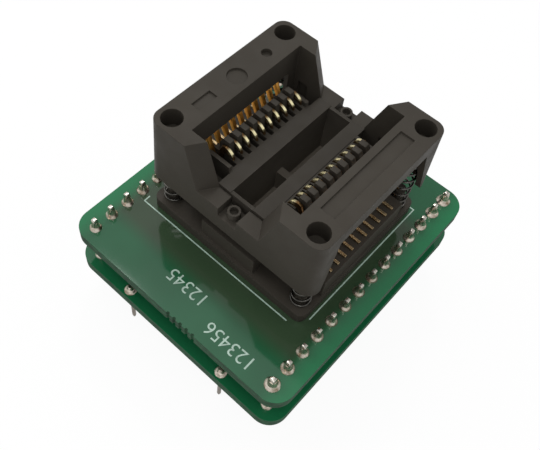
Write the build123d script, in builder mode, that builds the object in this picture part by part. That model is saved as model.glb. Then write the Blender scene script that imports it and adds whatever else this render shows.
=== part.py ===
# Programming adapter: an open top chip socket on a stack of two boards, with pin rows below.
# Millimetres, +Z up. Z is 0 at the tips of the lower pins, X and Y are 0 at the board centre.
import os
from math import atan, cos, degrees, pi, radians, sin, tan

from build123d import *

# Boards
BOARD_X = 32.8
BOARD_Y = 36.8
BOARD_T = 1.6
BOARD_CORNER = 2.5
BOARD_GAP = 4.75
BITE_R = 0.24
BITE_PITCH = 0.95
BITE_COUNT = 5
BITE_X = 2.0

# Pin rows
PITCH = 2.54
PINS_PER_ROW = 14
PIN_CLEAR = 0.05
RISER_ROW_X = 13.97
RISER_SIDE = 0.64
RISER_TIP = 1.9
DIP_ROW_X = 7.62
DIP_SHIFT_Y = -0.9
DIP_LENGTH = 6.0
DIP_R = 0.28
DIP_TIP_R = 0.15
DIP_TIP_LENGTH = 0.6
DIP_HEAD = 1.0

# Solder cones, six sided
CONE_R = 1.05
CONE_TOP_R = 0.55
CONE_H = 1.1
SMALL_CONE_R = 0.5
SMALL_CONE_TOP_R = 0.38
SMALL_CONE_H = 0.7

# Socket base, heights counted from the top of the upper board
SOCKET_Y = 1.75
PLATE_X = 23.4
PLATE_Y = 22.0
PLATE_T = 1.55
BLOCK_X = 14.4
BLOCK_Y = 17.5
COMB_TOP = 10.2
RAIL_IN = 1.6
RAIL_OUT = 3.4
RAIL_RISE = 0.1
CHANNEL_Y = 16.6
CHANNEL_FLOOR = 3.0
SIDE_BLOCK_X = 23.0
SIDE_BLOCK_Y = 14.6
SIDE_BLOCK_TOP = 4.75
END_SINK = 8.0
LEDGE_IN = 3.6
LEDGE_OUT = 6.6
LEDGE_T = 0.5
LEDGE_TOP = 10.9
POST_R = 0.75
POST_TOP = 4.6
STOP_X = 8.0

# Contacts, ten a side, in the slots of the base
CONTACTS_PER_SIDE = 10
CONTACT_PITCH = 1.27
CONTACT_W = 0.36
CONTACT_T = 0.3
CONTACT_CLEAR = 0.06
SLOT_IN = 3.7
TOOTH_IN = 4.75
TOOTH_OUT = 6.35
TOOTH_TOP = 12.75
TOOTH_SLOPE = 0.9
PIVOT_X = 7.5
PIVOT_H = 5.0
CONTACT_FOOT = 0.15
TOE_X = 11.1
TAIL_BELOW = 1.0

# Cover
COVER_X = 23.56
COVER_Y = 21.74
COVER_TOP = 15.87
COVER_BOTTOM = 6.5
COVER_DRAFT = 1.5
COVER_CORNER = 1.4
TRAVEL = 2.2
STOP_CLEAR = 0.05
BLOCK_CLEAR = 0.17
WALL_T = 0.6
WALL_BOTTOM = 12.3
LIP_BOTTOM = 14.0
LIP_T = 0.8
BAR_T = 1.12
LEG_TOP_Y = 7.5
LEG_SLOPE = 0.237
CROSS_TOP = 9.9
VEE_TOP_HALF = 5.0
VEE_SLOPE = 0.343
VEE_FLARE = 0.64
NOTCH_HALF = 1.3
NOTCH_DEPTH = 1.3
BOSS_R = 0.78
BOSS_HOLE_R = 0.5
BOSS_H = 1.0
TOP_HOLE_R = 1.25
TOP_HOLE_DEPTH = 2.6
MARK_DEPTH = 0.3

# Hooks that keep the cover on the base
HOOK_IN = 5.5
HOOK_OUT = 6.7
HOOK_OUTREACH = 0.35
HOOK_H = 0.8
HOOK_LEDGE = 0.8
HOOK_CLEAR = 0.05

# Return springs
SPRING_X = 9.97
SPRING_Y = 9.11
SPRING_R = 1.05
WIRE = 0.26
SPRING_TURNS = 6
SPRING_SIDES = 6
SPRING_BORE_R = 1.35
SPRING_SEAT = 12.0

# Levels that follow from the values above
LOWER_BOTTOM = DIP_LENGTH
LOWER_TOP = LOWER_BOTTOM + BOARD_T
UPPER_BOTTOM = LOWER_TOP + BOARD_GAP
UPPER_TOP = UPPER_BOTTOM + BOARD_T
ROW_SPAN = PITCH * (PINS_PER_ROW - 1)
SLOT_W = CONTACT_W + 2 * CONTACT_CLEAR + 0.05
ROW_Y = [SOCKET_Y + CONTACT_PITCH * (n - (CONTACTS_PER_SIDE - 1) / 2) for n in range(CONTACTS_PER_SIDE)]
PIN_Y = [PITCH * n - ROW_SPAN / 2 for n in range(PINS_PER_ROW)]
DIP_Y = [y + DIP_SHIFT_Y for y in PIN_Y]
WINDOW_X = BLOCK_X + 2 * BLOCK_CLEAR
WINDOW_Y = BLOCK_Y + 0.1
SIDES = {"left": -1, "right": 1}
CORNERS = [(sx * SPRING_X, SOCKET_Y + sy * SPRING_Y) for sx in (-1, 1) for sy in (-1, 1)]

os.makedirs("parts", exist_ok=True)
made = []


def finish_part(builder, label):
    """Name one finished sub-part and write its STEP file."""
    builder.part.label = label
    export_step(builder.part, "parts/" + label + ".step")
    made.append(label)


def at(height):
    """The level of a height counted from the top of the upper board."""
    return UPPER_TOP + height


def box(x0, x1, y0, y1, z0, z1, mode=Mode.ADD):
    """A plain block between two corners, in the open builder."""
    with Locations(((x0 + x1) / 2, (y0 + y1) / 2, (z0 + z1) / 2)):
        Box(abs(x1 - x0), abs(y1 - y0), abs(z1 - z0), mode=mode)


# Boards
for board, bottom in (("lower_board", LOWER_BOTTOM), ("upper_board", UPPER_BOTTOM)):
    with BuildPart() as plate:
        with BuildSketch(Plane.XY.offset(bottom)):
            RectangleRounded(BOARD_X, BOARD_Y, BOARD_CORNER)
            riser_hole = RISER_SIDE + 2 * PIN_CLEAR
            with Locations([(s * RISER_ROW_X, y) for s in (-1, 1) for y in PIN_Y]):
                Rectangle(riser_hole, riser_hole, mode=Mode.SUBTRACT)
            if board == "lower_board":
                dip_hole = 2 * (DIP_R + PIN_CLEAR)
                with Locations([(s * DIP_ROW_X, y) for s in (-1, 1) for y in DIP_Y]):
                    Rectangle(dip_hole, dip_hole, mode=Mode.SUBTRACT)
            else:
                with Locations([(s * PIVOT_X, y) for s in (-1, 1) for y in ROW_Y]):
                    Rectangle(CONTACT_T + 2 * PIN_CLEAR, CONTACT_W + 2 * PIN_CLEAR, mode=Mode.SUBTRACT)
                bites = [(BITE_X + BITE_PITCH * (n - (BITE_COUNT - 1) / 2), -BOARD_Y / 2)
                         for n in range(BITE_COUNT)]
                with Locations(bites):
                    RegularPolygon(BITE_R, 8, rotation=22.5, mode=Mode.SUBTRACT)
        extrude(amount=BOARD_T)
    finish_part(plate, board)

# Pins that join the boards, and their solder
for side, s in SIDES.items():
    with BuildPart() as risers:
        with BuildSketch(Plane.XY.offset(LOWER_BOTTOM)):
            with Locations([(s * RISER_ROW_X, y) for y in PIN_Y]):
                Rectangle(RISER_SIDE, RISER_SIDE)
        extrude(amount=at(RISER_TIP) - LOWER_BOTTOM)
    finish_part(risers, "riser_pins_" + side)

# Lower pins, eight sided
dip_top = LOWER_TOP + DIP_HEAD
dip_taper = degrees(atan((DIP_R - DIP_TIP_R) * cos(pi / 8) / DIP_TIP_LENGTH))
for side, s in SIDES.items():
    with BuildPart() as dips:
        with BuildSketch(Plane.XY.offset(DIP_TIP_LENGTH)):
            with Locations([(s * DIP_ROW_X, y) for y in DIP_Y]):
                RegularPolygon(DIP_R, 8, rotation=22.5)
        extrude(amount=dip_top - DIP_TIP_LENGTH)
        with BuildSketch(Plane.XY.offset(DIP_TIP_LENGTH)):
            with Locations([(s * DIP_ROW_X, y) for y in DIP_Y]):
                RegularPolygon(DIP_R, 8, rotation=22.5)
        extrude(amount=-DIP_TIP_LENGTH, taper=dip_taper)
    finish_part(dips, "dip_pins_" + side)


def cones(label, x, ys, z, pin, round_pin=False, down=False, sides=6,
          base_r=CONE_R, top_r=CONE_TOP_R, high=CONE_H):
    """A row of solder cones round a row of pins, standing up from z or hanging down from it."""
    way = -1 if down else 1
    lean = degrees(atan((base_r - top_r) * cos(pi / sides) / high))
    with BuildPart() as row:
        with BuildSketch(Plane.XY.offset(z)):
            with Locations([(x, y) for y in ys]):
                RegularPolygon(base_r, sides, rotation=180 / sides)
        extrude(amount=way * high, taper=lean)
        with BuildSketch(Plane.XY.offset(z)):
            with Locations([(x, y) for y in ys]):
                if round_pin:
                    RegularPolygon(pin / 2, 8, major_radius=False, rotation=22.5)
                else:
                    Rectangle(pin[0], pin[1])
        extrude(amount=way * high, mode=Mode.SUBTRACT)
    finish_part(row, label)


square = (RISER_SIDE, RISER_SIDE)
flat = (CONTACT_T, CONTACT_W)
for side, s in SIDES.items():
    cones("solder_top_" + side, s * RISER_ROW_X, PIN_Y, UPPER_TOP, square)
    cones("solder_riser_lower_" + side, s * RISER_ROW_X, PIN_Y, LOWER_TOP, square)
    cones("solder_dip_" + side, s * DIP_ROW_X, DIP_Y, LOWER_TOP, 2 * DIP_R, round_pin=True)
    cones("solder_contacts_" + side, s * PIVOT_X, ROW_Y, UPPER_BOTTOM, flat, down=True,
          base_r=SMALL_CONE_R, top_r=SMALL_CONE_TOP_R, high=SMALL_CONE_H)

# Socket base: the open top moulding with a slot for every contact
block_x = BLOCK_X / 2
block_y = BLOCK_Y / 2
stop_top = COVER_BOTTOM - TRAVEL - STOP_CLEAR
hook_bottom = COVER_BOTTOM + HOOK_LEDGE + HOOK_CLEAR
ledge_y = CONTACT_PITCH * (CONTACTS_PER_SIDE - 1) / 2 + CONTACT_PITCH / 2 + LEDGE_T / 2
with BuildPart() as base:
    with BuildSketch(Plane.XY.offset(UPPER_TOP)):
        with Locations((0, SOCKET_Y)):
            RectangleRounded(PLATE_X, PLATE_Y, 1.0)
    extrude(amount=PLATE_T)
    box(-SIDE_BLOCK_X / 2, SIDE_BLOCK_X / 2, SOCKET_Y - SIDE_BLOCK_Y / 2, SOCKET_Y + SIDE_BLOCK_Y / 2,
        at(PLATE_T), at(SIDE_BLOCK_TOP))
    box(-block_x, block_x, SOCKET_Y - block_y, SOCKET_Y + block_y, at(PLATE_T), at(COMB_TOP))
    # Ends of the block sink beside the rails
    for s in (-1, 1):
        for e in (-1, 1):
            box(s * RAIL_OUT, s * block_x, SOCKET_Y + e * (ledge_y + LEDGE_T / 2), SOCKET_Y + e * block_y,
                at(END_SINK), at(COMB_TOP), mode=Mode.SUBTRACT)
            box(s * LEDGE_IN, s * LEDGE_OUT, SOCKET_Y + e * (ledge_y - LEDGE_T / 2),
                SOCKET_Y + e * (ledge_y + LEDGE_T / 2), at(END_SINK), at(LEDGE_TOP))
        box(s * RAIL_IN, s * RAIL_OUT, SOCKET_Y - block_y, SOCKET_Y + block_y,
            at(COMB_TOP), at(COMB_TOP + RAIL_RISE))
        # Stop shelves and hooks at both ends
    for e in (-1, 1):
        box(-STOP_X / 2, STOP_X / 2, SOCKET_Y + e * block_y, SOCKET_Y + e * (PLATE_Y / 2 - 0.4),
            at(PLATE_T), at(stop_top))
        for s in (-1, 1):
            box(s * HOOK_IN, s * HOOK_OUT, SOCKET_Y + e * block_y, SOCKET_Y + e * (block_y + HOOK_OUTREACH),
                at(hook_bottom), at(hook_bottom + HOOK_H))
            box(s * HOOK_IN, s * HOOK_OUT, SOCKET_Y + e * (block_y - 0.6), SOCKET_Y + e * block_y,
                at(END_SINK), at(hook_bottom + HOOK_H))
    # Channel between the rails, with a low rib across its middle
    box(-RAIL_IN, RAIL_IN, SOCKET_Y - CHANNEL_Y / 2, SOCKET_Y + CHANNEL_Y / 2,
        at(CHANNEL_FLOOR), at(COMB_TOP + RAIL_RISE), mode=Mode.SUBTRACT)
    box(-RAIL_IN, RAIL_IN, SOCKET_Y - 0.5, SOCKET_Y + 0.5, at(CHANNEL_FLOOR), at(CHANNEL_FLOOR + 3.0))
    # Teeth of the comb between the contacts, with their outer edges sloped
    for s in (-1, 1):
        with BuildSketch(Plane.XZ.offset(-(ROW_Y[-1] - CONTACT_W / 2))):
            Polygon((s * TOOTH_IN, at(COMB_TOP - 0.2)), (s * TOOTH_IN, at(TOOTH_TOP)),
                    (s * (TOOTH_OUT - TOOTH_SLOPE / 2), at(TOOTH_TOP)),
                    (s * TOOTH_OUT, at(TOOTH_TOP - TOOTH_SLOPE)), (s * TOOTH_OUT, at(COMB_TOP - 0.2)),
                    align=None)
        extrude(amount=ROW_Y[-1] - ROW_Y[0] - CONTACT_W)
    # Slots for the contacts and holes for their tails
    for s in (-1, 1):
        for y in ROW_Y:
            box(s * SLOT_IN, s * (block_x + 0.01), y - SLOT_W / 2, y + SLOT_W / 2,
                at(SIDE_BLOCK_TOP), at(TOOTH_TOP), mode=Mode.SUBTRACT)
            box(s * PIVOT_X - CONTACT_T / 2 - PIN_CLEAR, s * PIVOT_X + CONTACT_T / 2 + PIN_CLEAR,
                y - CONTACT_W / 2 - PIN_CLEAR, y + CONTACT_W / 2 + PIN_CLEAR,
                at(0), at(SIDE_BLOCK_TOP), mode=Mode.SUBTRACT)
    with BuildSketch(Plane.XY.offset(at(PLATE_T))):
        with Locations(CORNERS):
            RegularPolygon(POST_R, 10)
    extrude(amount=POST_TOP - PLATE_T)
finish_part(base, "socket_base")

# Cover: the moving frame, open at the top, with cam walls over the contacts
wall_out = WINDOW_X / 2 + WALL_T
lip_in = COVER_X / 2 - LIP_T
hollow_y = LEG_TOP_Y - 0.1
grow = (COVER_TOP - COVER_BOTTOM) * tan(radians(COVER_DRAFT))
far_x = COVER_X / 2 + grow + 1
end_out = COVER_Y / 2 + grow + 0.5
with BuildPart() as cover:
    with BuildSketch(Plane.XY.offset(at(COVER_TOP))):
        with Locations((0, SOCKET_Y)):
            RectangleRounded(COVER_X, COVER_Y, COVER_CORNER)
    extrude(amount=-(COVER_TOP - COVER_BOTTOM), taper=-COVER_DRAFT)
    box(-WINDOW_X / 2, WINDOW_X / 2, SOCKET_Y - WINDOW_Y / 2, SOCKET_Y + WINDOW_Y / 2,
        at(COVER_BOTTOM), at(COVER_TOP), mode=Mode.SUBTRACT)
    # Side openings between the legs, below the long bars
    leg_low_y = LEG_TOP_Y + (LIP_BOTTOM - COVER_BOTTOM) * LEG_SLOPE
    for s in (-1, 1):
        with BuildSketch(Plane.YZ.offset(s * wall_out)):
            Polygon((SOCKET_Y - LEG_TOP_Y, at(LIP_BOTTOM)), (SOCKET_Y + LEG_TOP_Y, at(LIP_BOTTOM)),
                    (SOCKET_Y + leg_low_y, at(COVER_BOTTOM)), (SOCKET_Y - leg_low_y, at(COVER_BOTTOM)),
                    align=None)
        extrude(amount=s * (far_x - wall_out), mode=Mode.SUBTRACT)
        # Hollow underside of the bar and the free space under its cam wall
        box(s * wall_out, s * lip_in, SOCKET_Y - hollow_y, SOCKET_Y + hollow_y,
            at(LIP_BOTTOM - 0.5), at(COVER_TOP - BAR_T), mode=Mode.SUBTRACT)
        box(s * (WINDOW_X / 2 - 0.01), s * (wall_out + 0.01), SOCKET_Y - hollow_y, SOCKET_Y + hollow_y,
            at(COVER_BOTTOM), at(WALL_BOTTOM), mode=Mode.SUBTRACT)
    # Vee openings of the two ends, wider at the outside
    for e in (-1, 1):
        y_in = SOCKET_Y + e * (WINDOW_Y / 2 - 0.2)
        y_out = SOCKET_Y + e * end_out
        out_more = VEE_FLARE * (end_out - WINDOW_Y / 2 + 0.2)
        top_half = VEE_TOP_HALF + VEE_SLOPE * 0.5
        low_half = VEE_TOP_HALF - VEE_SLOPE * (COVER_TOP - CROSS_TOP)
        faces = []
        for y, more in ((y_in, 0), (y_out, out_more)):
            corner = [Vector(-top_half - more, y, at(COVER_TOP + 0.5)), Vector(top_half + more, y, at(COVER_TOP + 0.5)),
                      Vector(low_half + more, y, at(CROSS_TOP)), Vector(-low_half - more, y, at(CROSS_TOP))]
            faces.append(Face(Wire.make_polygon(corner, close=True)))
        loft(sections=faces, ruled=True, mode=Mode.SUBTRACT)
        # Notch and boss in the middle of the cross piece
        box(-NOTCH_HALF, NOTCH_HALF, SOCKET_Y + e * (WINDOW_Y / 2 - 0.1), SOCKET_Y + e * end_out,
            at(CROSS_TOP - NOTCH_DEPTH), at(CROSS_TOP), mode=Mode.SUBTRACT)
        boss_y = SOCKET_Y + e * (WINDOW_Y / 2 + COVER_Y / 2) / 2
        with BuildSketch(Plane.XY.offset(at(CROSS_TOP - NOTCH_DEPTH))):
            with Locations((0, boss_y)):
                RegularPolygon(BOSS_R, 12)
        extrude(amount=BOSS_H)
        with BuildSketch(Plane.XY.offset(at(CROSS_TOP - NOTCH_DEPTH + BOSS_H))):
            with Locations((0, boss_y)):
                RegularPolygon(BOSS_HOLE_R, 10)
        extrude(amount=-BOSS_H * 0.8, mode=Mode.SUBTRACT)
        # Pockets for the hooks of the base
        for s in (-1, 1):
            box(s * (HOOK_IN - 0.1), s * (HOOK_OUT + 0.1), SOCKET_Y + e * (WINDOW_Y / 2 - 0.05),
                SOCKET_Y + e * (block_y + HOOK_OUTREACH + 0.1),
                at(COVER_BOTTOM + HOOK_LEDGE), at(hook_bottom + HOOK_H + TRAVEL + 0.1), mode=Mode.SUBTRACT)
    # Spring bores from below and round holes in the top
    with BuildSketch(Plane.XY.offset(at(COVER_BOTTOM))):
        with Locations(CORNERS):
            RegularPolygon(SPRING_BORE_R, 16)
    extrude(amount=SPRING_SEAT - COVER_BOTTOM, mode=Mode.SUBTRACT)
    with BuildSketch(Plane.XY.offset(at(COVER_TOP))):
        with Locations(CORNERS):
            RegularPolygon(TOP_HOLE_R, 16)
    extrude(amount=-TOP_HOLE_DEPTH, mode=Mode.SUBTRACT)
    # Sunk marks of the left bar and the long sunk field of the right one
    box(-9.9, -8.7, SOCKET_Y - 6.35, SOCKET_Y - 3.56, at(COVER_TOP - MARK_DEPTH), at(COVER_TOP),
        mode=Mode.SUBTRACT)
    box(8.28, 10.1, SOCKET_Y - 6.85, SOCKET_Y + 6.85, at(COVER_TOP - MARK_DEPTH), at(COVER_TOP),
        mode=Mode.SUBTRACT)
    for mark_x, mark_y, mark_r, depth in ((-9.24, 0.14, 1.2, MARK_DEPTH), (-9.3, 5.14, 0.65, 2 * MARK_DEPTH)):
        with BuildSketch(Plane.XY.offset(at(COVER_TOP))):
            with Locations((mark_x, SOCKET_Y + mark_y)):
                RegularPolygon(mark_r, 16)
        extrude(amount=-depth, mode=Mode.SUBTRACT)
finish_part(cover, "socket_cover")

# Return springs between the shelf of the base and the seats in the cover
coil_h = SPRING_SEAT - PLATE_T - WIRE
coil_steps = SPRING_TURNS * SPRING_SIDES
coil_points = []
for n in range(coil_steps + 1):
    turn = 2 * pi * n / SPRING_SIDES
    coil_points.append((SPRING_R * cos(turn), SPRING_R * sin(turn),
                        at(PLATE_T) + WIRE / 2 + coil_h * n / coil_steps))
with BuildPart() as coil:
    with BuildLine() as coil_path:
        Polyline(*coil_points)
    with BuildSketch(Plane(origin=coil_path.wire() @ 0, z_dir=coil_path.wire() % 0)):
        Rectangle(WIRE, WIRE)
    sweep(path=coil_path.wire(), transition=Transition.RIGHT)
for n, (x, y) in enumerate(CORNERS, start=1):
    with BuildPart() as spring:
        with Locations((x, y, 0)):
            add(coil.part)
    finish_part(spring, "return_spring_" + str(n))

# Contacts: a stamped strip with a beak on the lead and a finger outside the cover's wall, and its fixed root
wall_x = WINDOW_X / 2 + WALL_T
cam_lean = 0.4615
cam_low = 9.6
cam_high = WALL_BOTTOM + 0.17
finger_in = [(wall_x + (h - WALL_BOTTOM) * cam_lean, h) for h in (cam_low, cam_high)]
finger_out = [(wall_x + 0.58, cam_high - 0.15), (7.22, 9.2)]
stem_foot = [(PIVOT_X + CONTACT_T / 2, PIVOT_H + CONTACT_FOOT), (PIVOT_X - CONTACT_T / 2, PIVOT_H + CONTACT_FOOT)]
beak_low = [(6.5, 8.6), (5.78, 9.35), (5.5, 10.2), (5.42, 11.15), (5.2, 11.4), (4.45, 11.3), (3.85, 11.0)]
beak_top = [(4.15, 11.75), (4.6, 12.1), (5.15, 12.28), (5.68, 12.1), (5.98, 11.2), (6.15, 10.0), (6.5, 9.5)]
contact_outline = finger_in + finger_out + stem_foot + beak_low + beak_top
for side, s in SIDES.items():
    for n, y in enumerate(ROW_Y, start=1):
        with BuildPart() as contact:
            with BuildSketch(Plane.XZ.offset(-(y + CONTACT_W / 2))):
                Polygon(*[(s * px, at(pz)) for px, pz in contact_outline], align=None)
            extrude(amount=CONTACT_W)
        finish_part(contact, "contact_" + side + "_" + str(n))
    with BuildPart() as roots:
        for y in ROW_Y:
            box(s * PIVOT_X - CONTACT_T / 2, s * PIVOT_X + CONTACT_T / 2, y - CONTACT_W / 2, y + CONTACT_W / 2,
                UPPER_BOTTOM - TAIL_BELOW, at(SIDE_BLOCK_TOP + CONTACT_T))
            box(s * PIVOT_X, s * TOE_X, y - CONTACT_W / 2, y + CONTACT_W / 2,
                at(SIDE_BLOCK_TOP), at(SIDE_BLOCK_TOP + CONTACT_T))
    finish_part(roots, "contact_roots_" + side)

print(len(made), "sub-parts written")
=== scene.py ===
"""Dresses the programming adapter: boards, soldered pins and the open top socket."""
import math
import random

import bmesh
import bpy
from mathutils import Matrix, Vector


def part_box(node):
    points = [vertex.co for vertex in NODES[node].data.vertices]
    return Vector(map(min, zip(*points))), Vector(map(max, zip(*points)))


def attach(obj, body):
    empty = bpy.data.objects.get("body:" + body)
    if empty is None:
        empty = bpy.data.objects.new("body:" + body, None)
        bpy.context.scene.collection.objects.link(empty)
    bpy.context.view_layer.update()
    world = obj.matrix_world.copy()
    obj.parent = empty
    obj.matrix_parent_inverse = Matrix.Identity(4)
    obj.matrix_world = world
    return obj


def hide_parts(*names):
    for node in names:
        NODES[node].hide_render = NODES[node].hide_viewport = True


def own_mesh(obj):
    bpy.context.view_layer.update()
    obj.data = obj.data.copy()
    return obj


bl_info = {
    "name": "Programming adapter",
    "version": (1, 0, 0),
    "blender": (4, 5, 0),
    "location": "View3D > Sidebar > Adapter",
    "description": "Builds the looks of a chip programming adapter round its packed solids",
    "category": "Object",
}

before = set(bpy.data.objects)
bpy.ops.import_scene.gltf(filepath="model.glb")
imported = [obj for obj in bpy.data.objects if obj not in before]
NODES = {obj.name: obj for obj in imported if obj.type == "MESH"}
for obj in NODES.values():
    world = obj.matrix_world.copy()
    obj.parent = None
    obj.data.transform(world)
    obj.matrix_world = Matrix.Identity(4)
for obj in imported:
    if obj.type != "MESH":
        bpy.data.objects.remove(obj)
MM = 0.001
SIDES = ("left", "right")
CONTACT_COUNT = 10
CORNER_COUNT = 4

# Heights of the boards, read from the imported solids
LOWER_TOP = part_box("lower_board")[1].z
UPPER_BOTTOM, UPPER_TOP = (corner.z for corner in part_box("upper_board"))

# Lacquer: paler margins, and a darker zone round the socket that is painted shade and a painted
# reflection of the socket. Both are tuned to the tones in the photograph, and what makes the margins paler
# isn't known
MARGIN_FROM = 13.4 * MM
MARGIN_FULL = 16.2 * MM
LOWER_PALER_SHARE = 0.4
PAINTED_SHADE_Y = -1.2 * MM
PAINTED_SHADE_X_HALF = 12.8 * MM
PAINTED_SHADE_Y_HALF = 10.8 * MM
PAINTED_SHADE_FADE = 2.8 * MM
# How upright a face may stand and still be coated, or be a flat side, and how rough each finish is
COATED_FROM = 0.3
FLAT_FROM = 0.95
CUT_ROUGHNESS = 0.95
LACQUER_ROUGHNESS = 0.07

# Rails of the base and the channel between them, with heights over the upper board; the rails get painted
# shade, the channel painted light
SOCKET_Y = 1.75 * MM
RAIL_INNER = 1.6 * MM
RAIL_OUTER = 3.4 * MM
RAIL_LOW = 9.6 * MM
CHANNEL_END = 8.3 * MM
CHANNEL_LOW = 3.0 * MM
RAIL_PAINTED_SHADE = 0.88
CHANNEL_PAINTED_LIGHT = 1.3
DEEP_PAINTED_LIGHT = 2.1
RIM = 0.02 * MM
RIM_FADE = 0.08 * MM
END_FADE = 0.1 * MM

# Contacts and comb teeth, distances from the middle and heights over the upper board
BEAK_AT = 3.8 * MM
BEAK_BACK = 5.0 * MM
BEAK_LOW = 11.35 * MM
FINGER_AT = 8.2 * MM
FLARE_FROM = 7.9 * MM
TOOTH_FACE = 4.75 * MM
TOOTH_FOOT = 10.6 * MM

# Copper pads, pins and solder joints
PIN_SEED = 7
SOLDER_SEED = 21
PAD_RISE = 0.03 * MM
PAD_TOP_SHARE = 0.97
RISER_TAPER = 0.35 * MM
RISER_END_SHARE = 0.72
TIP_SHARE = 0.5
END_SHARE = 0.6
JOINT_SIDES = 20
SMALL_JOINT_FOOT = 0.5 * MM
SMALL_JOINT_HEIGHT = 0.75 * MM
END_SWELL = {"left": 0.0, "right": 0.3}
# Hollow profile as shares of height and width: wide foot, quick drop, then a slim collar up the pin
JOINT_PROFILE = ((0.06, 0.97), (0.16, 0.8), (0.24, 0.63), (0.34, 0.5), (0.5, 0.42), (0.8, 0.36), (1.0, 0.3))

# Springs: one closed turn at each end and open turns between them
SPRING_TURNS = 9
POINTS_PER_TURN = 20
WIRE_SIDES = 8

# Print: millimetres on the upper board, and the share of a digit's size that its height takes
PRINT_LINES = (
    ((-12.69, -8.92), (-12.66, -9.85), (10.27, -9.85)),
    ((12.06, -7.95), (12.06, 12.65), (11.48, 12.65)),
)
PRINT_NUMBERS = (("12345", -0.6, -14.5), ("123456", 7.7, -16.4))
DIGIT_SHARE = 0.72

# Lights: name, place, size, power
SOFT_BOXES = (
    ("left_box", (-0.36, 0.15, 0.5), (0.29, 0.5), 0.16),
    ("near_box", (-0.11, 0.03, 0.5), (0.21, 0.26), 0.08),
)
LAMPS = (
    ("back_light", (0.26, 0.3, 0.3), 0.36, 0.14),
    ("fill_light", (0.12, -0.2, 0.4), 0.3, 0.22),
    # Small and opposite the camera: the socket hides its mirrored place, and throws its shadow
    ("key_light", (-0.161, 0.223, 0.43), 0.1, 0.38),
    ("side_key", (-0.19, 0.06, 0.46), 0.1, 0.2),
    ("top_light", (0.06, -0.1, 0.46), 0.12, 0.24),
    ("left_light", (-0.36, -0.1, 0.26), 0.36, 0.35),
)
LAMP_AIM = Vector((0, 0, 0.01))
FLOOR_SHARE = 0.93
SKY_STRENGTH = 0.58

# Camera: pixels of the photograph, degrees and millimetres
PHOTO_WIDTH = 540
SENSOR_WIDTH = 36
FOCAL_PIXELS = 724.7274
SHIFT_PIXELS = (17.937, -18.7612)
AZIMUTH = 35.8534
ELEVATION = 56.643
ROLL = 7.3828
AIM_POINT = (-2.7347, -1.1865, 0)
DISTANCE = 89.3045


def srgb(red, green, blue):
    """A colour written as 0 to 255, turned into the linear values that shaders take."""
    out = []
    for part in (red, green, blue):
        v = part / 255
        out.append(v / 12.92 if v <= 0.04045 else ((v + 0.055) / 1.055) ** 2.4)
    return tuple(out)


# Settings


def colour(name, text, value):
    """A colour setting."""
    return bpy.props.FloatVectorProperty(
        name=name, description=text, subtype="COLOR", size=3, min=0, max=1, default=value)


def length(name, text, value):
    """A length setting, in metres."""
    return bpy.props.FloatProperty(
        name=name, description=text, default=value, min=0, unit="LENGTH", precision=6)


class AdapterFinish(bpy.types.PropertyGroup):
    """Colours and surface values."""

    mask: colour("Solder mask", "Green lacquer on the boards", srgb(26, 82, 52))
    mask_deep: colour("Mask, second tone", "The other tone of the lacquer", srgb(32, 88, 58))
    mask_margin: colour("Mask at the margins", "Paler lacquer, cause not known", srgb(20, 108, 66))
    # Painted shade and a painted reflection of the socket, on the lacquer round it
    mask_painted_shade: colour("Mask round the socket", "Darker lacquer, cause not known", srgb(50, 68, 48))
    laminate: colour("Board edge", "Cut edge of the glass laminate", srgb(32, 70, 45))
    ink: colour("Ink", "White print on the boards", srgb(168, 192, 178))
    moulding: colour("Moulding", "Dark plastic of the socket", srgb(60, 56, 50))
    plating: colour("Plating", "Bright plated pins", srgb(204, 198, 188))
    solder: colour("Solder", "Solder joints", srgb(238, 226, 212))
    contact: colour("Contact fingers", "Outer fingers of the contacts", srgb(252, 184, 88))
    # Painted highlight on the tops of the beaks
    beak: colour("Contact beaks", "Bright plating over the leads", srgb(255, 244, 196))
    # Painted shade on the strip between the beak and the finger
    bend: colour("Contact bends", "Dull strip between beak and finger", srgb(112, 86, 56))
    wire: colour("Spring wire", "Steel of the return springs", srgb(92, 90, 86))
    floor: colour("Floor", "Floor and backdrop", (0.92, 0.92, 0.92))


class AdapterSizes(bpy.types.PropertyGroup):
    """Sizes of what the looks add."""

    ink_rise: length("Ink thickness", "How far the print stands off the board", 0.03 * MM)
    ink_line: length("Ink line", "Width of a printed line", 0.15 * MM)
    digit_height: length("Digit height", "Height of the printed digits", 1.7 * MM)
    pad_radius: length("Pad radius", "Copper pad round each pin", 0.74 * MM)
    joint_radius: length("Joint radius", "Foot of a solder joint", 0.8 * MM)
    joint_height: length("Joint height", "Height of a solder joint", 1.3 * MM)
    edge_round: length("Edge rounding", "Rounding of moulded edges", 0.12 * MM)
    rib_round: length("Rib rounding", "Rounding of the thin ribs", 0.05 * MM)
    strip_round: length("Strip rounding", "Rounding of the contact strips", 0.05 * MM)
    wire_radius: length("Wire radius", "Radius of the spring wire", 0.14 * MM)
    tooth_relief: length("Tooth relief", "How far the teeth stand back from the beaks", 0.17 * MM)
    finger_flare: bpy.props.FloatProperty(
        name="Finger flare", description="Width of a finger's end over its strip",
        default=2.0, min=1, subtype="FACTOR")


# Materials


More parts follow.
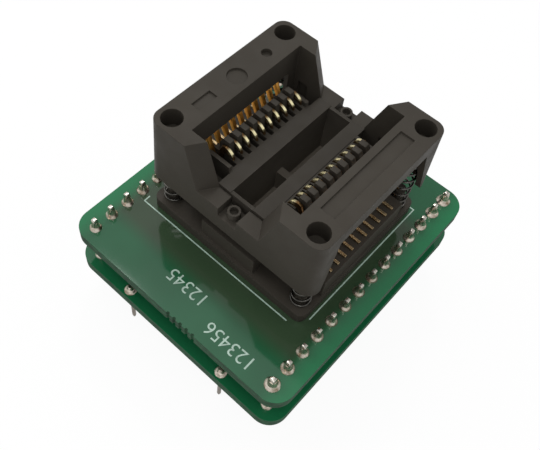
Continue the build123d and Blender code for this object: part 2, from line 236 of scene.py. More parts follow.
class Shader:
    """A small helper that adds nodes to one material."""

    def __init__(self, name):
        self.material = bpy.data.materials.new(name)
        self.material.use_nodes = True
        self.tree = self.material.node_tree
        self.tree.nodes.clear()
        self.output = self.node("ShaderNodeOutputMaterial")
        self.bsdf = self.node("ShaderNodeBsdfPrincipled")
        self.link(self.bsdf.outputs[0], self.output.inputs[0])
        self.coordinates = self.node("ShaderNodeTexCoord").outputs["Object"]

    def node(self, kind, **values):
        made = self.tree.nodes.new(kind)
        for key, value in values.items():
            setattr(made, key, value)
        return made

    def link(self, a, b):
        self.tree.links.new(a, b)

    def noise(self, scale, detail=3.0, stretch=None):
        """Noise whose scale counts features in a metre."""
        made = self.node("ShaderNodeTexNoise")
        made.inputs["Scale"].default_value = scale
        made.inputs["Detail"].default_value = detail
        if stretch:
            mapping = self.node("ShaderNodeMapping")
            mapping.inputs["Scale"].default_value = stretch
            self.link(self.coordinates, mapping.inputs["Vector"])
            self.link(mapping.outputs[0], made.inputs["Vector"])
        else:
            self.link(self.coordinates, made.inputs["Vector"])
        return made.outputs["Fac"]

    def ramp(self, fac, low, high, low_at=0.35, high_at=0.65):
        """Two colours or values joined by a smooth ramp."""
        made = self.node("ShaderNodeValToRGB")
        for element, at, value in zip(made.color_ramp.elements, (low_at, high_at), (low, high)):
            element.position = at
            element.color = (tuple(value) if hasattr(value, "__len__") else (value,) * 3) + (1,)
        self.link(fac, made.inputs[0])
        return made.outputs[0]

    def plain(self, value):
        """One colour all over."""
        made = self.node("ShaderNodeRGB")
        made.outputs[0].default_value = tuple(value) + (1,)
        return made.outputs[0]

    def mix(self, fac, a, b):
        """Mixes two colour outputs."""
        made = self.node("ShaderNodeMix", data_type="RGBA")
        self.link(fac, made.inputs[0])
        self.link(a, made.inputs[6])
        self.link(b, made.inputs[7])
        return made.outputs[2]

    def between(self, value, start, end):
        """0 at the start of a length, 1 at its end, with a soft step between."""
        made = self.node("ShaderNodeMapRange", interpolation_type="SMOOTHSTEP")
        made.inputs["From Min"].default_value = start
        made.inputs["From Max"].default_value = end
        self.link(value, made.inputs["Value"])
        return made.outputs[0]

    def step(self, value, start, end):
        """Turns 0 to 1 into start to end."""
        made = self.node("ShaderNodeMapRange")
        made.inputs["To Min"].default_value = start
        made.inputs["To Max"].default_value = end
        self.link(value, made.inputs["Value"])
        return made.outputs[0]

    def maths(self, operation, *values):
        """One sum on outputs and plain numbers."""
        made = self.node("ShaderNodeMath", operation=operation)
        for value, socket in zip(values, made.inputs):
            if isinstance(value, (int, float)):
                socket.default_value = value
            else:
                self.link(value, socket)
        return made.outputs[0]

    def split(self, vector):
        """The X, Y and Z of a vector."""
        made = self.node("ShaderNodeSeparateXYZ")
        self.link(vector, made.inputs[0])
        return made.outputs[0], made.outputs[1], made.outputs[2]

    def tone(self, where, paint, share):
        """The paint times a share, where the mask is 1."""
        made = self.node("ShaderNodeMix", data_type="RGBA", blend_type="MULTIPLY")
        self.link(where, made.inputs[0])
        self.link(paint, made.inputs[6])
        made.inputs[7].default_value = (share, share, share, 1)
        return made.outputs[2]

    def bump(self, height, strength, distance):
        """Bump whose distance is in metres."""
        made = self.node("ShaderNodeBump")
        made.inputs["Strength"].default_value = strength
        made.inputs["Distance"].default_value = distance
        self.link(height, made.inputs["Height"])
        self.link(made.outputs[0], self.bsdf.inputs["Normal"])

    def set(self, **values):
        for key, value in values.items():
            self.bsdf.inputs[key.replace("_", " ")].default_value = value

    def colour_by(self, output):
        self.link(output, self.bsdf.inputs["Base Color"])

    def rough_by(self, output):
        self.link(output, self.bsdf.inputs["Roughness"])


def scaled(value, factor):
    return tuple(min(1.0, part * factor) for part in value)


def board_material(look):
    """Green lacquer with painted shade and a painted reflection round the socket, paler at the margins, and
    laminate on the cut edges.
    """
    s = Shader("solder_mask")
    x, y, z = s.split(s.coordinates)
    across = s.maths("ABSOLUTE", x)
    along = s.maths("ABSOLUTE", s.maths("SUBTRACT", y, PAINTED_SHADE_Y))
    past = s.maths("MAXIMUM", s.maths("SUBTRACT", across, PAINTED_SHADE_X_HALF),
                   s.maths("SUBTRACT", along, PAINTED_SHADE_Y_HALF))
    cloudy = s.ramp(s.noise(120, 2), look.mask, look.mask_deep)
    # Painted shade and a painted reflection of the socket, over a box round it that fades out past its edges
    lacquer_with_painted_shade = s.mix(s.between(past, PAINTED_SHADE_FADE, 0.0), cloudy, s.plain(look.mask_painted_shade))
    # The upper board is paler at its margins, the lower one a little all over
    outside = s.between(across, MARGIN_FROM, MARGIN_FULL)
    upper = s.maths("GREATER_THAN", z, (LOWER_TOP + UPPER_BOTTOM) / 2)
    paler_share = s.maths("MULTIPLY_ADD", outside, upper, s.step(upper, LOWER_PALER_SHARE, 0.0))
    lacquer = s.mix(paler_share, lacquer_with_painted_shade, s.plain(look.mask_margin))
    weave = s.noise(900, 2, stretch=(1, 1, 4.5))
    edge = s.ramp(weave, scaled(look.laminate, 0.5), scaled(look.laminate, 1.4))
    upright = s.maths("ABSOLUTE", s.split(s.node("ShaderNodeNewGeometry").outputs["True Normal"])[2])
    s.colour_by(s.mix(s.maths("GREATER_THAN", upright, COATED_FROM), edge, lacquer))
    s.rough_by(s.step(s.maths("GREATER_THAN", upright, FLAT_FROM), CUT_ROUGHNESS, LACQUER_ROUGHNESS))
    s.bump(s.noise(700, 2), 0.03, 0.01 * MM)
    s.set(Specular_IOR_Level=0.5)
    return s.material


def painted_rail_light_and_shade(s, paint):
    """Painted shade on the rails, and painted light in the channel between them, strongest at the channel's
    bottom.

    The moulding is taken to be one plastic: these tones make up for the lamps, not for its colour.
    """
    x, y, z = s.split(s.coordinates)
    across = s.maths("ABSOLUTE", x)
    along = s.maths("ABSOLUTE", s.maths("SUBTRACT", y, SOCKET_Y))
    raised = s.between(z, UPPER_TOP + RAIL_LOW, UPPER_TOP + RAIL_LOW + 0.3 * MM)
    rails = s.maths("MULTIPLY", s.between(across, RAIL_OUTER + END_FADE, RAIL_OUTER), raised)
    channel = s.maths("MULTIPLY", s.between(across, RAIL_INNER + RIM_FADE, RAIL_INNER + RIM),
                      s.between(along, CHANNEL_END + END_FADE, CHANNEL_END + RIM))
    deep = s.maths("MULTIPLY", channel, s.between(z, UPPER_TOP + RAIL_LOW, UPPER_TOP + CHANNEL_LOW))
    return s.tone(deep, s.tone(channel, s.tone(rails, paint, RAIL_PAINTED_SHADE), CHANNEL_PAINTED_LIGHT), DEEP_PAINTED_LIGHT)


def moulding_material(look, name, rails):
    """Dark glass filled plastic with a fine grain and pale specks."""
    s = Shader(name)
    cloud = s.ramp(s.noise(90, 2), scaled(look.moulding, 0.94), scaled(look.moulding, 1.08))
    speck = s.ramp(s.noise(6500, 1), 0.0, 0.5, 0.68, 0.78)
    paint = s.mix(speck, cloud, s.plain(scaled(look.moulding, 1.6)))
    # On the base, painted shade on the rails and painted light in the channel
    s.colour_by(painted_rail_light_and_shade(s, paint) if rails else paint)
    s.rough_by(s.ramp(s.noise(500, 3), 0.5, 0.62))
    s.bump(s.noise(5200, 3), 0.16, 0.015 * MM)
    s.set(Specular_IOR_Level=0.12)
    return s.material


def metal_material(name, value, low, high, scale, bump=0.2, tint=None):
    """A plated metal with cloudy tarnish and fine unevenness."""
    s = Shader(name)
    tint = tint or scaled(value, 0.72)
    s.colour_by(s.ramp(s.noise(scale, 4), tint, value, 0.3, 0.6))
    s.rough_by(s.ramp(s.noise(scale * 1.7, 3), low, high))
    s.bump(s.noise(scale * 1.4, 3), bump, 0.03 * MM)
    s.set(Metallic=1.0)
    return s.material


def contact_material(look):
    """Copper alloy strip: a painted highlight on the tops of the beaks over the leads, painted shade on the
    bends, and warm outer fingers.
    """
    s = Shader("contact_strip")
    streak = s.noise(2600, 2, stretch=(0.25, 2.0, 0.25))
    x, _, z = s.split(s.coordinates)
    across = s.maths("ABSOLUTE", x)
    along = s.node("ShaderNodeMapRange")
    along.inputs["From Min"].default_value = BEAK_AT
    along.inputs["From Max"].default_value = FINGER_AT
    s.link(across, along.inputs["Value"])
    # The bend takes painted shade, the outer fingers their own warm colour
    strip = s.ramp(along.outputs[0], look.bend, look.contact, 0.62, 0.8)
    # Painted highlight on the tops of the beaks alone
    raised = s.between(z, UPPER_TOP + BEAK_LOW, UPPER_TOP + BEAK_LOW + 0.4 * MM)
    painted_highlight = s.maths("MULTIPLY", s.between(across, BEAK_BACK, BEAK_BACK - 0.6 * MM), raised)
    shade = s.node("ShaderNodeMix", data_type="RGBA", blend_type="MULTIPLY")
    shade.inputs[0].default_value = 1.0
    s.link(s.mix(painted_highlight, strip, s.plain(look.beak)), shade.inputs[6])
    s.link(s.ramp(streak, 0.84, 1.0), shade.inputs[7])
    s.colour_by(shade.outputs[2])
    s.rough_by(s.ramp(s.noise(1800, 2), 0.34, 0.5))
    s.bump(streak, 0.12, 0.02 * MM)
    s.set(Metallic=1.0)
    return s.material


def ink_material(look):
    """Printed ink with a worn, uneven tone."""
    s = Shader("board_ink")
    s.colour_by(s.ramp(s.noise(2400, 3), scaled(look.ink, 0.7), look.ink, 0.3, 0.55))
    s.bump(s.noise(5000, 2), 0.2, 0.01 * MM)
    s.set(Roughness=0.55)
    return s.material


def make_materials(look):
    """Every finish of the adapter, by name."""
    return {
        "board": board_material(look),
        "base_moulding": moulding_material(look, "base_moulding", True),
        "cover_moulding": moulding_material(look, "cover_moulding", False),
        # Pins under the lower board: metal darker than the risers' plating, which is painted shade
        "shaded_pin_metal": metal_material("pin_metal_painted_shade", srgb(128, 120, 110), 0.3, 0.5, 1500),
        "plating": metal_material("pin_plating", tuple(look.plating), 0.16, 0.34, 1500),
        "solder": metal_material("solder_joint", tuple(look.solder), 0.24, 0.42, 1300, 0.5,
                                 srgb(150, 132, 108)),
        "contact": contact_material(look),
        "toe": metal_material("contact_toe", srgb(176, 156, 122), 0.42, 0.56, 1900, 0.1, srgb(140, 116, 82)),
        "wire": metal_material("spring_steel", tuple(look.wire), 0.22, 0.34, 2200, 0.1),
        "copper": metal_material("pad_copper", srgb(120, 116, 96), 0.3, 0.5, 1800),
        "ink": ink_material(look),
    }


# Modelling helpers


def deselect():
    """Leaves nothing selected and object mode on."""
    if bpy.context.object and bpy.context.object.mode != "OBJECT":
        bpy.ops.object.mode_set(mode="OBJECT")
    bpy.ops.object.select_all(action="DESELECT")


def make_active(obj):
    """Selects one object alone."""
    deselect()
    bpy.context.view_layer.objects.active = obj
    obj.select_set(True)


def place_in_mesh(obj):
    """Moves an object's place, turn and size into its mesh."""
    make_active(obj)
    bpy.ops.object.transform_apply(location=True, rotation=True, scale=True)


def modify(obj, kind, **values):
    """Adds one modifier and applies it."""
    made = obj.modifiers.new(kind.lower(), kind)
    for key, value in values.items():
        setattr(made, key, value)
    make_active(obj)
    bpy.ops.object.modifier_apply(modifier=made.name)


def outward(obj):
    """Closes doubles and points every face outwards."""
    make_active(obj)
    bpy.ops.object.mode_set(mode="EDIT")
    bpy.ops.mesh.select_all(action="SELECT")
    bpy.ops.mesh.remove_doubles(threshold=0.0005 * MM)
    bpy.ops.mesh.normals_make_consistent(inside=False)
    bpy.ops.object.mode_set(mode="OBJECT")


def smooth(obj, degrees=35):
    make_active(obj)
    bpy.ops.object.shade_smooth_by_angle(angle=math.radians(degrees))


def copy_of_node(node, name):
    """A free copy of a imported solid, with its loose triangles merged into plain faces."""
    made = NODES[node].copy()
    made.data = NODES[node].data.copy()
    made.name = name
    made.data.name = name
    for key in list(made.keys()):
        del made[key]
    made.parent = None
    made.data.materials.clear()
    bpy.context.scene.collection.objects.link(made)
    make_active(made)
    bpy.ops.object.mode_set(mode="EDIT")
    bpy.ops.mesh.select_all(action="SELECT")
    bpy.ops.mesh.remove_doubles(threshold=0.002 * MM)
    bpy.ops.mesh.dissolve_limited(angle_limit=math.radians(1.0))
    bpy.ops.object.mode_set(mode="OBJECT")
    return made


def rounded_copy(node, name, width, segments, angle):
    """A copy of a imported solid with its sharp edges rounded."""
    made = copy_of_node(node, name)
    round_edges(made, width, segments, angle)
    return made


def round_edges(obj, width, segments, angle):
    """Rounds the edges that are sharper than an angle, and keeps the flat faces flat."""
    modify(obj, "BEVEL", width=width, segments=segments, limit_method="ANGLE",
           angle_limit=math.radians(angle), use_clamp_overlap=True, harden_normals=False)
    smooth(obj, 40)
    modify(obj, "WEIGHTED_NORMAL", mode="FACE_AREA", weight=100, keep_sharp=True)


def join_named(objects, name):
    """Joins objects into one with the given name."""
    deselect()
    for obj in objects:
        obj.select_set(True)
    bpy.context.view_layer.objects.active = objects[0]
    bpy.ops.object.join()
    made = bpy.context.object
    made.name = name
    made.data.name = name
    return made


def dress(obj, material, body, slot, *replaced):
    """Gives a finished piece its material and its body, and hides the solids it stands for. The slot is not
    used.
    """
    place_in_mesh(obj)
    obj.data.materials.clear()
    obj.data.materials.append(MATERIALS[material])
    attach(obj, body)
    if replaced:
        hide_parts(*replaced)
    return obj


def copies_at(source, places):
    """Copies of a piece, each with its own mesh, moved, turned and scaled to its place."""
    made = []
    for where, turn, size in places:
        one = source.copy()
        one.data = source.data.copy()
        bpy.context.scene.collection.objects.link(one)
        one.data.transform(Matrix.Translation(where) @ Matrix.Rotation(turn, 4, "Z")
                           @ Matrix.Diagonal((size[0], size[1], size[2], 1)))
        made.append(one)
    bpy.data.objects.remove(source)
    return made


def solid_centres(node):
    """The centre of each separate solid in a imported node, in order along Y."""
    mesh = bmesh.new()
    mesh.from_mesh(NODES[node].data)
    bmesh.ops.remove_doubles(mesh, verts=mesh.verts, dist=0.002 * MM)
    left = set(mesh.verts)
    centres = []
    while left:
        first = left.pop()
        island = {first}
        front = [first]
        while front:
            for edge in front.pop().link_edges:
                for vert in edge.verts:
                    if vert in left:
                        left.remove(vert)
                        island.add(vert)
                        front.append(vert)
        low = Vector([min(v.co[k] for v in island) for k in range(3)])
        high = Vector([max(v.co[k] for v in island) for k in range(3)])
        centres.append((low + high) / 2)
    mesh.free()
    return sorted(centres, key=lambda c: c.y)


MATERIALS = {}


class AdapterOperator:
    """What the operators share."""

    bl_options = {"REGISTER", "UNDO"}

    @staticmethod
    def look():
        return bpy.context.scene.adapter_finish

    @staticmethod
    def sizes():
        return bpy.context.scene.adapter_sizes


class ADAPTER_OT_materials(AdapterOperator, bpy.types.Operator):
    """Makes every finish of the adapter"""

    bl_idname = "adapter.materials"
    bl_label = "Finishes"

    def execute(self, context):
        MATERIALS.update(make_materials(self.look()))
        return {"FINISHED"}


class ADAPTER_OT_boards(AdapterOperator, bpy.types.Operator):
    """Rounds the cut edges of both boards and lays a pad round every pin"""

    bl_idname = "adapter.boards"
    bl_label = "Boards"

    def execute(self, context):
        for node in ("upper_board", "lower_board"):
            board = rounded_copy(node, node + "_lacquered", 0.035 * MM, 1, 50)
            dress(board, "board", "adapter", "board_green", node)
        fields = (("riser_pins_", UPPER_TOP, "upper_pads_"), ("riser_pins_", LOWER_TOP, "lower_pads_"),
                  ("dip_pins_", LOWER_TOP, "inner_pads_"))
        for pins, level, pads in fields:
            for side in SIDES:
                self.pads(pads + side, solid_centres(pins + side), level)
        return {"FINISHED"}

    def pads(self, name, centres, level):
        radius = self.sizes().pad_radius
        deselect()
        bpy.ops.mesh.primitive_circle_add(vertices=24, radius=radius, fill_type="NGON", location=(0, 0, 0))
        pad = bpy.context.object
        bpy.ops.object.mode_set(mode="EDIT")
        bpy.ops.mesh.select_all(action="SELECT")
        bpy.ops.mesh.extrude_region_move(TRANSFORM_OT_translate={"value": (0, 0, PAD_RISE)})
        bpy.ops.transform.resize(value=(PAD_TOP_SHARE, PAD_TOP_SHARE, 1))
        bpy.ops.object.mode_set(mode="OBJECT")
        outward(pad)
        row = copies_at(pad, [(Vector((c.x, c.y, level)), 0.0, (1, 1, 1)) for c in centres])
        piece = join_named(row, name)
        smooth(piece)
        dress(piece, "copper", "adapter", "solder")


class ADAPTER_OT_pins(AdapterOperator, bpy.types.Operator):
    """Makes the pins of every row, with cropped and slightly rounded ends"""

    bl_idname = "adapter.pins"
    bl_label = "Pins"

    def execute(self, context):
        draws = random.Random(PIN_SEED)
        for side in SIDES:
            self.risers(side, draws)
            self.lower(side, draws)
        return {"FINISHED"}

    def risers(self, side, draws):
        node = "riser_pins_" + side
        low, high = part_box(node)
        width = high.x - low.x
        deselect()
        bpy.ops.mesh.primitive_cube_add(size=1, location=(0, 0, 0.5))
        pin = bpy.context.object
        bpy.ops.object.transform_apply(location=True, rotation=False, scale=False)
        pin.scale = (width, width, high.z - low.z)
        place_in_mesh(pin)
        # The top tapers a little before its cropped end
        bpy.ops.object.mode_set(mode="EDIT")
        bpy.ops.mesh.select_all(action="SELECT")
        bpy.ops.mesh.bisect(plane_co=(0, 0, high.z - low.z - RISER_TAPER), plane_no=(0, 0, 1))
        bpy.ops.mesh.select_all(action="DESELECT")
        bpy.ops.object.mode_set(mode="OBJECT")
        for face in pin.data.polygons:
            face.select = face.normal.z > 0.9
        bpy.ops.object.mode_set(mode="EDIT")
        bpy.ops.mesh.select_mode(type="FACE")
        bpy.ops.transform.resize(value=(RISER_END_SHARE, RISER_END_SHARE, 1))
        bpy.ops.object.mode_set(mode="OBJECT")
        modify(pin, "BEVEL", width=0.05 * MM, segments=2, limit_method="ANGLE",
               angle_limit=math.radians(25))
        places = []
        for c in solid_centres(node):
            height = draws.uniform(0.985, 1.0)
            places.append((Vector((c.x, c.y, low.z)), 0.0, (1, 1, height)))
        piece = join_named(copies_at(pin, places), node + "_plated")
        smooth(piece, 30)
        dress(piece, "plating", "adapter", "pin_metal", node)

    def lower(self, side, draws):
        node = "dip_pins_" + side
        low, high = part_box(node)
        wide = (high.x - low.x) / 2
        tip = wide * TIP_SHARE
        size = tip * END_SHARE
        deselect()
        bpy.ops.mesh.primitive_circle_add(vertices=16, radius=size, fill_type="NGON", location=(0, 0, 0))
        pin = bpy.context.object
        bpy.ops.object.mode_set(mode="EDIT")
        bpy.ops.mesh.select_all(action="SELECT")
        tall = high.z / MM
        # Rises in millimetres: rounded end, taper, shank, and a narrower head inside the joint.
        # The shank takes what the other steps leave
        steps = ((0.08, tip), (0.5, wide * 0.97), (0.1, wide), (tall - 0.83, wide), (0.15, wide * 0.7))
        for rise, radius in steps:
            bpy.ops.mesh.extrude_region_move(TRANSFORM_OT_translate={"value": (0, 0, rise * MM)})
            bpy.ops.transform.resize(value=(radius / size, radius / size, 1))
            size = radius
        bpy.ops.object.mode_set(mode="OBJECT")
        outward(pin)
        places = [(Vector((c.x, c.y, low.z)), draws.uniform(0, 1), (1, 1, 1))
                  for c in solid_centres(node)]
        piece = join_named(copies_at(pin, places), node + "_plated")
        smooth(piece, 30)
        # The darker metal of these pins is painted shade
        dress(piece, "shaded_pin_metal", "adapter", "pin_metal", node)


class ADAPTER_OT_solder(AdapterOperator, bpy.types.Operator):
    """Makes the solder joints, hollow sided cones that differ a little from pin to pin"""

    bl_idname = "adapter.solder"
    bl_label = "Solder"

    def execute(self, context):
        draws = random.Random(SOLDER_SEED)
        foot = self.sizes().joint_radius
        tall = self.sizes().joint_height
        for side in SIDES:
            self.row("solder_top_" + side, UPPER_TOP, foot, tall, 0.36 * MM, 1, draws, END_SWELL[side])
            self.row("solder_riser_lower_" + side, LOWER_TOP, foot, tall, 0.4 * MM, 1, draws)
            self.row("solder_dip_" + side, LOWER_TOP, foot, tall * 0.9, 0.3 * MM, 1, draws)
            self.row("solder_contacts_" + side, UPPER_BOTTOM, SMALL_JOINT_FOOT, SMALL_JOINT_HEIGHT,
                     0.25 * MM, -1, draws)
        return {"FINISHED"}

    def row(self, node, level, foot, tall, neck, way, draws, swell=0.0):
        """The joints of one row, which stand up (way 1) or hang down (way -1) from a level."""
        deselect()
        bpy.ops.mesh.primitive_circle_add(vertices=JOINT_SIDES, radius=foot, fill_type="NGON",
                                          location=(0, 0, 0))
        joint = bpy.context.object
        bpy.ops.object.mode_set(mode="EDIT")
        bpy.ops.mesh.select_all(action="SELECT")
        size = foot
        least = JOINT_PROFILE[-1][1]
        before = 0.0
        for share, part in JOINT_PROFILE:
            radius = neck + (foot - neck) * (part - least) / (1 - least)
            rise = (share - before) * tall
            before = share
            bpy.ops.mesh.extrude_region_move(TRANSFORM_OT_translate={"value": (0, 0, rise * way)})
            bpy.ops.transform.resize(value=(radius / size, radius / size, 1))
            size = radius
        bpy.ops.object.mode_set(mode="OBJECT")
        outward(joint)
        places = []
        centres = solid_centres(node)
        half = (centres[-1].y - centres[0].y) / 2
        for c in centres:
            # More solder flowed at the two ends of a row
            end = abs(c.y - centres[0].y - half) / half
            wide = draws.uniform(0.95, 1.03) * (1 - swell / 2 + swell * end ** 2)
            places.append((Vector((c.x, c.y, level)), draws.uniform(0, 6),
                           (wide * draws.uniform(0.96, 1.0), wide, draws.uniform(0.85, 1.05))))
        made = copies_at(joint, places)
        for one in made:
            self.dent(one, level, draws)
        piece = join_named(made, node + "_flowed")
        smooth(piece, 60)
        dress(piece, "solder", "adapter", "solder", node)

    def dent(self, joint, level, draws):
        """Pushes the skin of one joint in and out a little, as cooled solder is."""
        centre = sum((v.co for v in joint.data.vertices), Vector()) / len(joint.data.vertices)
        waves = [(draws.randint(2, 5), draws.uniform(0, 6), draws.uniform(0.01, 0.05)) for _ in range(3)]
        for vert in joint.data.vertices:
            out = Vector((vert.co.x - centre.x, vert.co.y - centre.y, 0))
            turn = math.atan2(out.y, out.x)
            if abs(vert.co.z - level) > 0.02 * MM:
                vert.co += out * sum(depth * math.sin(count * turn + start)
                                     for count, start, depth in waves)


class ADAPTER_OT_socket(AdapterOperator, bpy.types.Operator):
    """Rounds the moulded edges of the socket's base and cover"""

    bl_idname = "adapter.socket"
    bl_label = "Socket mouldings"

    def execute(self, context):
        base = copy_of_node("socket_base", "socket_base_moulded")
        self.relieve(base)
        round_edges(base, self.sizes().rib_round, 2, 30)
        dress(base, "base_moulding", "adapter", "socket_plastic", "socket_base")
        cover = rounded_copy("socket_cover", "socket_cover_moulded", self.sizes().edge_round, 3, 24)
        dress(cover, "cover_moulding", "cover", "socket_plastic", "socket_cover")
        return {"FINISHED"}

    def relieve(self, base):
        """Stands the inner faces of the comb's teeth back, so that the beaks show."""
        for vert in base.data.vertices:
            if abs(abs(vert.co.x) - TOOTH_FACE) < 0.03 * MM and vert.co.z > UPPER_TOP + TOOTH_FOOT:
                vert.co.x += math.copysign(self.sizes().tooth_relief, vert.co.x)


class ADAPTER_OT_contacts(AdapterOperator, bpy.types.Operator):
    """Rounds the edges of every contact strip and of its root"""

    bl_idname = "adapter.contacts"
    bl_label = "Contacts"

    def execute(self, context):
        width = self.sizes().strip_round
        for side in SIDES:
            for n in range(1, CONTACT_COUNT + 1):
                node = "contact_%s_%d" % (side, n)
                strip = rounded_copy(node, node + "_strip", width, 2, 20)
                self.flare(strip)
                dress(strip, "contact", "contacts_" + side, "contact_metal", node)
            node = "contact_roots_" + side
            roots = rounded_copy(node, node + "_strips", width, 2, 20)
            dress(roots, "toe", "adapter", "contact_metal", node)
        return {"FINISHED"}

    def flare(self, strip):
        """Widens the outer end of a finger to the pad that rests on the cover's wall."""
        middle = sum(v.co.y for v in strip.data.vertices) / len(strip.data.vertices)
        for vert in strip.data.vertices:
            if abs(vert.co.x) > FLARE_FROM:
                vert.co.y = middle + (vert.co.y - middle) * self.sizes().finger_flare


class ADAPTER_OT_springs(AdapterOperator, bpy.types.Operator):
    """Winds the four return springs at one fixed length; the real ones shorten as the cover goes down"""

    bl_idname = "adapter.springs"
    bl_label = "Return springs"

    def execute(self, context):
        wire = self.sizes().wire_radius
        for n in range(1, CORNER_COUNT + 1):
            node = "return_spring_%d" % n
            low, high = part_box(node)
            centre = (low + high) / 2
            tall = high.z - low.z
            radius = (high.x - low.x) / 2 - wire
            deselect()
            bpy.ops.mesh.primitive_circle_add(vertices=WIRE_SIDES, radius=wire, location=(radius, 0, 0),
                                              rotation=(math.pi / 2, 0, 0))
            coil = bpy.context.object
            place_in_mesh(coil)
            steps = POINTS_PER_TURN * SPRING_TURNS
            modify(coil, "SCREW", angle=2 * math.pi * SPRING_TURNS, screw_offset=0.0, steps=steps,
                   render_steps=steps, axis="Z", use_normal_calculate=False)
            self.lift(coil, tall, wire)
            outward(coil)
            smooth(coil, 60)
            coil.data.transform(Matrix.Translation((centre.x, centre.y, low.z)))
            coil.name = node + "_coiled"
            dress(coil, "wire", "adapter", "spring_wire", node)
            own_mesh(coil)
        return {"FINISHED"}

    def lift(self, coil, tall, wire):
        """Raises each ring of the wire to its height along the coil."""
        rows = len(coil.data.vertices) // WIRE_SIDES
        open_turns = SPRING_TURNS - 2
        for row in range(rows):
            share = row / (rows - 1) * SPRING_TURNS
            raised = min(max(share - 1, 0), open_turns) / open_turns
            closed = min(share, 1) + max(share - SPRING_TURNS + 1, 0)
            rise = wire + raised * (tall - 2 * wire - 4 * wire) + closed * 2 * wire
            for n in range(WIRE_SIDES):
                coil.data.vertices[row * WIRE_SIDES + n].co.z += rise


class ADAPTER_OT_print(AdapterOperator, bpy.types.Operator):
    """Prints the socket's outline and two plain numbers on the upper board"""

    bl_idname = "adapter.board_print"
    bl_label = "Board print"

    def execute(self, context):
        line = self.sizes().ink_line
        rise = self.sizes().ink_rise
        for n, run in enumerate(PRINT_LINES, start=1):
            piece = self.stroke(run, line, rise)
            piece.name = "print_line_%d" % n
            dress(piece, "ink", "adapter", "board_green")
        for n, (text, x, y) in enumerate(PRINT_NUMBERS, start=1):
            piece = self.number(text, x * MM, y * MM, self.sizes().digit_height, rise)
            piece.name = "print_number_%d" % n
            dress(piece, "ink", "adapter", "board_green")
        return {"FINISHED"}

    def number(self, text, x, y, height, rise):
        """Plain printed digits, which read from the far end of the board."""
        deselect()
        bpy.ops.object.text_add(location=(0, 0, 0))
        piece = bpy.context.object
        piece.data.body = text
        piece.data.size = height / DIGIT_SHARE
        piece.data.align_x = "CENTER"
        piece.data.align_y = "CENTER"
        piece.data.extrude = rise / 2
        piece.data.offset = -0.012 * MM
        piece.data.resolution_u = 3
        bpy.ops.object.convert(target="MESH")
        piece = bpy.context.object
        piece.rotation_euler = (0, 0, math.pi)
        piece.location = (x, y, UPPER_TOP + rise / 2)
        place_in_mesh(piece)
        outward(piece)
        return piece

    def stroke(self, run, line, rise):
        """One printed line: a strip that follows its points and has mitred corners."""
        deselect()
        bpy.ops.mesh.primitive_plane_add(size=1, location=(0, 0, 0))
        piece = bpy.context.object
        points = [Vector((x * MM, y * MM)) for x, y in run]
        near, far = [], []
        legs = [(end - start).normalized() for start, end in zip(points, points[1:])]
        for p, a, b in zip(points, legs + legs[-1:], legs[:1] + legs):
            side = Vector((-(a.y + b.y), a.x + b.x)).normalized()
            half = line / 2 / max(0.35, side.dot(Vector((-a.y, a.x))))
            near.append(p + side * half)
            far.append(p - side * half)
        ring = near + far[::-1]
        mesh = bmesh.new()
        low = [mesh.verts.new((p.x, p.y, UPPER_TOP)) for p in ring]
        mesh.faces.new(low)
        mesh.to_mesh(piece.data)
        mesh.free()
        make_active(piece)
        bpy.ops.object.mode_set(mode="EDIT")
        bpy.ops.mesh.select_all(action="SELECT")
        bpy.ops.mesh.extrude_region_move(TRANSFORM_OT_translate={"value": (0, 0, rise)})
        bpy.ops.object.mode_set(mode="OBJECT")
        outward(piece)
        return piece


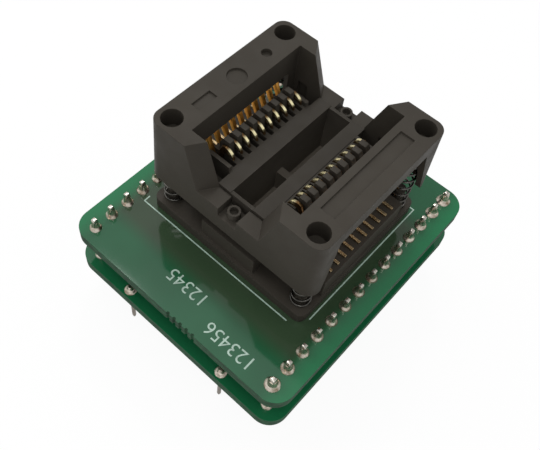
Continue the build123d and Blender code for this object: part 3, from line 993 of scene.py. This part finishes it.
class ADAPTER_OT_stage(AdapterOperator, bpy.types.Operator):
    """Sets the floor, the lights and the camera"""

    bl_idname = "adapter.stage"
    bl_label = "Stage"

    def execute(self, context):
        self.floor()
        self.world()
        # The lacquer mirrors the soft boxes in front of the socket
        for box in SOFT_BOXES:
            self.soft_box(*box)
        for lamp in LAMPS:
            self.lamp(*lamp)
        self.camera()
        return {"FINISHED"}

    def floor(self):
        deselect()
        bpy.ops.mesh.primitive_plane_add(size=4, location=(0, 0, 0))
        floor = bpy.context.object
        floor.name = "floor"
        s = Shader("pale_floor")
        s.set(Roughness=0.9)
        s.colour_by(s.ramp(s.noise(3, 2), scaled(self.look().floor, 0.985), self.look().floor))
        self.shine_through(s)
        floor.data.materials.append(s.material)

    def shine_through(self, s):
        """Adds a plain white that the camera and mirrored rays see, and keeps most of the shadow."""
        path = s.node("ShaderNodeLightPath")
        mirrored = s.maths("MAXIMUM", path.outputs["Is Camera Ray"], path.outputs["Is Glossy Ray"])
        seen = s.maths("MAXIMUM", mirrored, path.outputs["Is Transmission Ray"])
        white = s.node("ShaderNodeEmission")
        white.inputs["Color"].default_value = (1, 1, 1, 1)
        white.inputs["Strength"].default_value = 1.0
        both = s.node("ShaderNodeMixShader")
        s.link(s.maths("MULTIPLY", seen, FLOOR_SHARE), both.inputs[0])
        s.link(s.bsdf.outputs[0], both.inputs[1])
        s.link(white.outputs[0], both.inputs[2])
        s.link(both.outputs[0], s.output.inputs[0])

    def world(self):
        world = bpy.data.worlds.new("studio")
        bpy.context.scene.world = world
        world.use_nodes = True
        tree = world.node_tree
        sky = tree.nodes["Background"]
        sky.inputs["Color"].default_value = (1, 1, 1, 1)
        # The camera sees plain white behind the floor, and the object gets a softer sky
        path = tree.nodes.new("ShaderNodeLightPath")
        strength = tree.nodes.new("ShaderNodeMapRange")
        strength.inputs["To Min"].default_value = SKY_STRENGTH
        strength.inputs["To Max"].default_value = 1.0
        tree.links.new(path.outputs["Is Camera Ray"], strength.inputs["Value"])
        tree.links.new(strength.outputs[0], sky.inputs["Strength"])
        bpy.context.scene.view_settings.view_transform = "Standard"

    def lamp(self, name, place, size, power):
        """A round lamp that faces the adapter."""
        deselect()
        bpy.ops.object.light_add(type="AREA", location=place)
        lamp = bpy.context.object
        lamp.name = name
        lamp.data.shape = "DISK"
        lamp.data.size = size
        lamp.data.energy = power
        lamp.rotation_euler = (LAMP_AIM - Vector(place)).to_track_quat("-Z", "Y").to_euler()

    def soft_box(self, name, place, size, power):
        """A level panel of light that shines straight down."""
        deselect()
        bpy.ops.object.light_add(type="AREA", location=place)
        panel = bpy.context.object
        panel.name = name
        panel.data.shape = "RECTANGLE"
        panel.data.size = size[0]
        panel.data.size_y = size[1]
        panel.data.energy = power

    def camera(self):
        """The photograph's view, found from the pin rows."""
        data = bpy.data.cameras.new("camera")
        camera = bpy.data.objects.new("camera", data)
        bpy.context.scene.collection.objects.link(camera)
        azimuth, elevation, roll = (math.radians(turn) for turn in (AZIMUTH, ELEVATION, ROLL))
        back = Vector((math.sin(azimuth) * math.cos(elevation), -math.cos(azimuth) * math.cos(elevation),
                       math.sin(elevation)))
        right = (-back).cross(Vector((0, 0, 1))).normalized()
        up = right.cross(-back)
        side = right * math.cos(roll) + up * math.sin(roll)
        top = up * math.cos(roll) - right * math.sin(roll)
        place = Vector(AIM_POINT) * MM + Vector((0, 0, UPPER_TOP)) + back * DISTANCE * MM
        turn = Matrix((side, top, back)).transposed().to_4x4()
        camera.matrix_world = Matrix.Translation(place) @ turn
        data.lens = FOCAL_PIXELS / PHOTO_WIDTH * SENSOR_WIDTH
        data.sensor_width = SENSOR_WIDTH
        data.shift_x = SHIFT_PIXELS[0] / PHOTO_WIDTH
        data.shift_y = SHIFT_PIXELS[1] / PHOTO_WIDTH
        data.clip_start = 0.005
        data.clip_end = 10
        bpy.context.scene.camera = camera


class ADAPTER_PT_panel(bpy.types.Panel):
    """Lists the steps and the settings"""

    bl_idname = "ADAPTER_PT_panel"
    bl_label = "Programming adapter"
    bl_space_type = "VIEW_3D"
    bl_region_type = "UI"
    bl_category = "Adapter"

    def draw(self, context):
        for operator in OPERATORS:
            self.layout.operator(operator.bl_idname)
        for group in (context.scene.adapter_finish, context.scene.adapter_sizes):
            box = self.layout.box()
            for key in group.__annotations__:
                box.prop(group, key)


OPERATORS = (
    ADAPTER_OT_materials,
    ADAPTER_OT_boards,
    ADAPTER_OT_pins,
    ADAPTER_OT_solder,
    ADAPTER_OT_socket,
    ADAPTER_OT_contacts,
    ADAPTER_OT_springs,
    ADAPTER_OT_print,
    ADAPTER_OT_stage,
)
CLASSES = (AdapterFinish, AdapterSizes) + OPERATORS + (ADAPTER_PT_panel,)


def register():
    for cls in CLASSES:
        bpy.utils.register_class(cls)
    bpy.types.Scene.adapter_finish = bpy.props.PointerProperty(type=AdapterFinish)
    bpy.types.Scene.adapter_sizes = bpy.props.PointerProperty(type=AdapterSizes)


def unregister():
    del bpy.types.Scene.adapter_finish
    del bpy.types.Scene.adapter_sizes
    for cls in reversed(CLASSES):
        bpy.utils.unregister_class(cls)


def main():
    """Builds everything in order."""
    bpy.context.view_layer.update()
    register()
    for operator in OPERATORS:
        group, name = operator.bl_idname.split(".")
        getattr(getattr(bpy.ops, group), name)()
    deselect()


if __name__ == "__main__":
    main()
